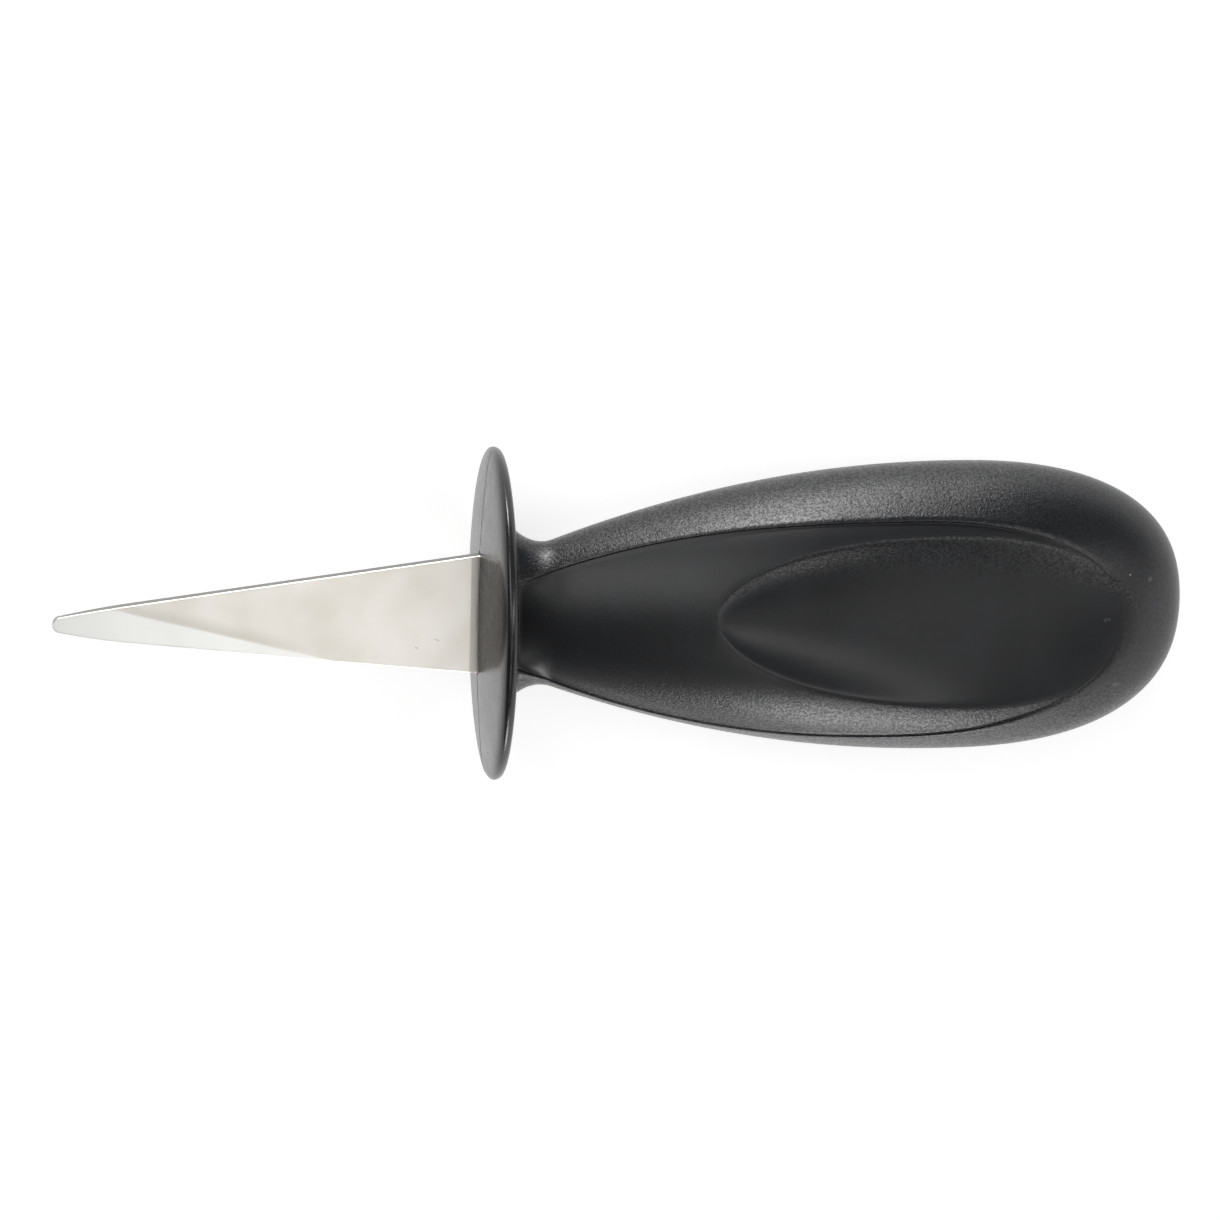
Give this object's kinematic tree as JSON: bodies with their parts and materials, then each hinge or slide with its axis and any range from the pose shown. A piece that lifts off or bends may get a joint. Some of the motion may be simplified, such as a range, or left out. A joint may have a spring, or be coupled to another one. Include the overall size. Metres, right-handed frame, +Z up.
{
  "type": "oyster knife",
  "caption": "Short stiff knife for opening oysters, with a tapering round-tipped blade, a round hand guard and an egg-shaped grip with a thumb dish on each face.",
  "frame": {"origin": "on the table that the knife lies on, below the middle of its bounding box", "axes": "+X from the blade's tip to the butt of the grip, +Y to the spine side of the blade, +Z up from the table"},
  "size_m": [0.1583, 0.0468, 0.0463],
  "materials": {
    "blade_steel": "satin-polished stainless steel with fine grinding marks",
    "guard_plastic": "polished black plastic with a fine parting line",
    "grip_plastic": "spark-textured black plastic with light scuffs"
  },
  "bodies": {
    "root": {"blade": "blade_steel", "guard_core": "guard_plastic", "grip": "grip_plastic"}
  },
  "joints": []
}
